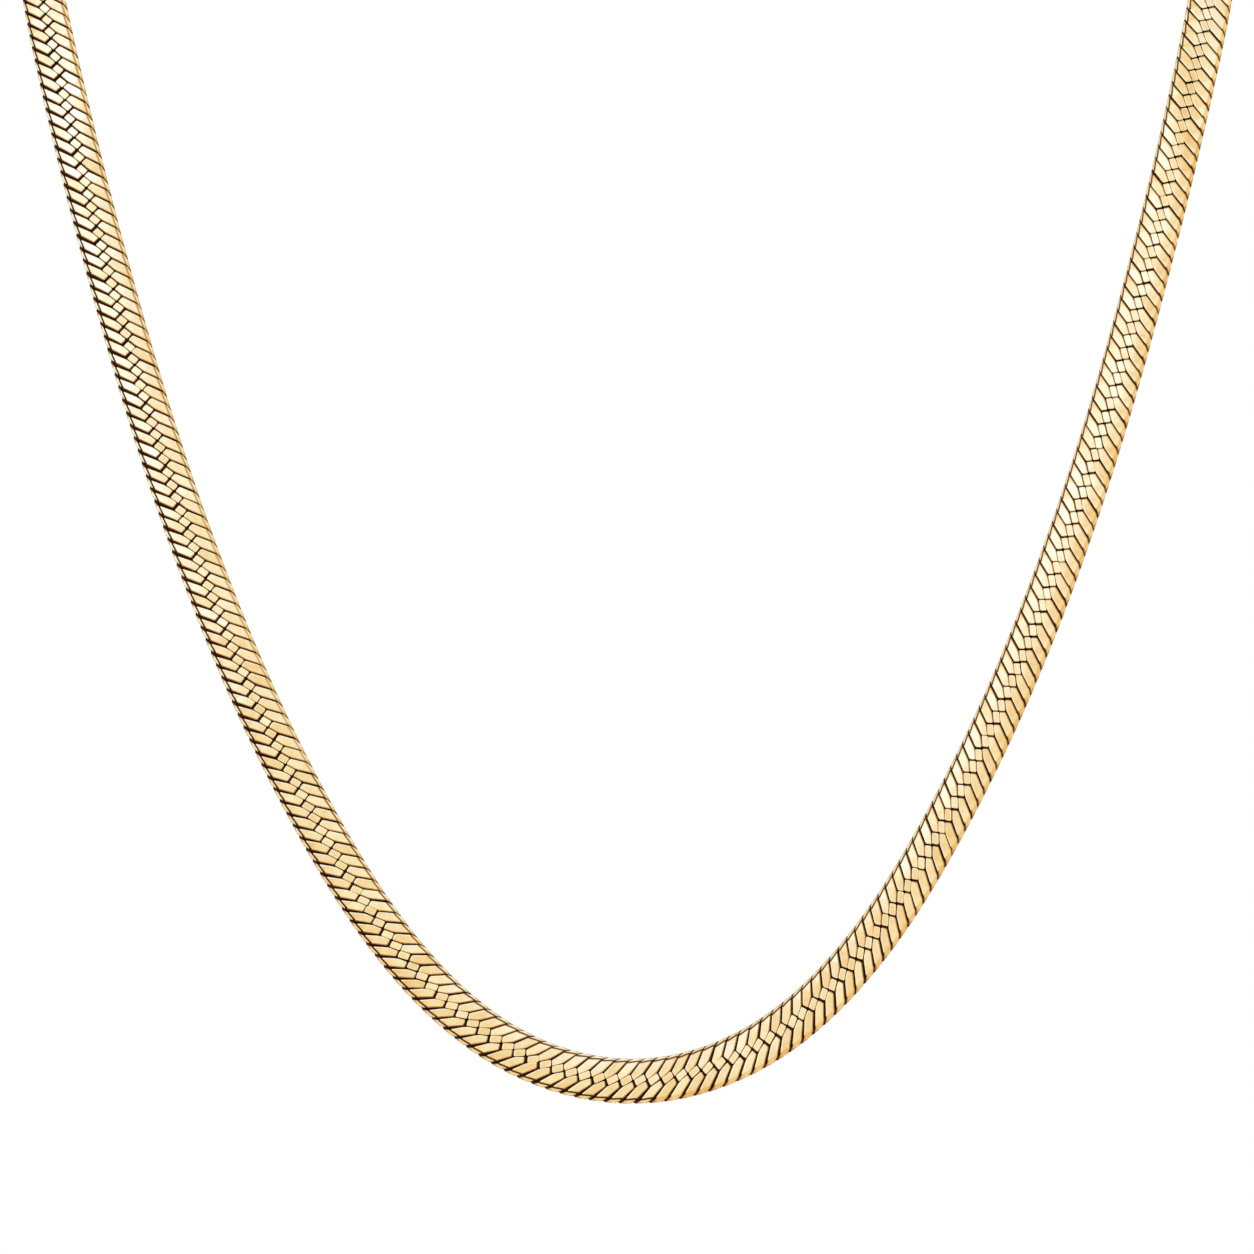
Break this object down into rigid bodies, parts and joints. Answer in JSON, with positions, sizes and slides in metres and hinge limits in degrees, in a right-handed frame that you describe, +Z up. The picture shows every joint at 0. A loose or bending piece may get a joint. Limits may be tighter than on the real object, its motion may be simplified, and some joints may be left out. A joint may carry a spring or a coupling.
{
  "type": "herringbone chain necklace",
  "caption": "Flat gold herringbone chain in its worn form: a woven band hanging in a U at the front, round an open neck space to a box clasp at the nape.",
  "frame": {"origin": "middle of the clasp's inner face, where the necklace lies on the nape", "axes": "+X to the right in a view from the front, -Y the way the front of the U faces, +Z up"},
  "size_m": [0.1276, 0.0971, 0.1549],
  "materials": {
    "link_gold": "polished pale yellow gold, pressed flat and burnished",
    "clasp_gold": "polished pale yellow gold"
  },
  "bodies": {
    "root": {"chain_left": "link_gold", "chain_right": "link_gold", "clasp": "clasp_gold"}
  },
  "joints": []
}
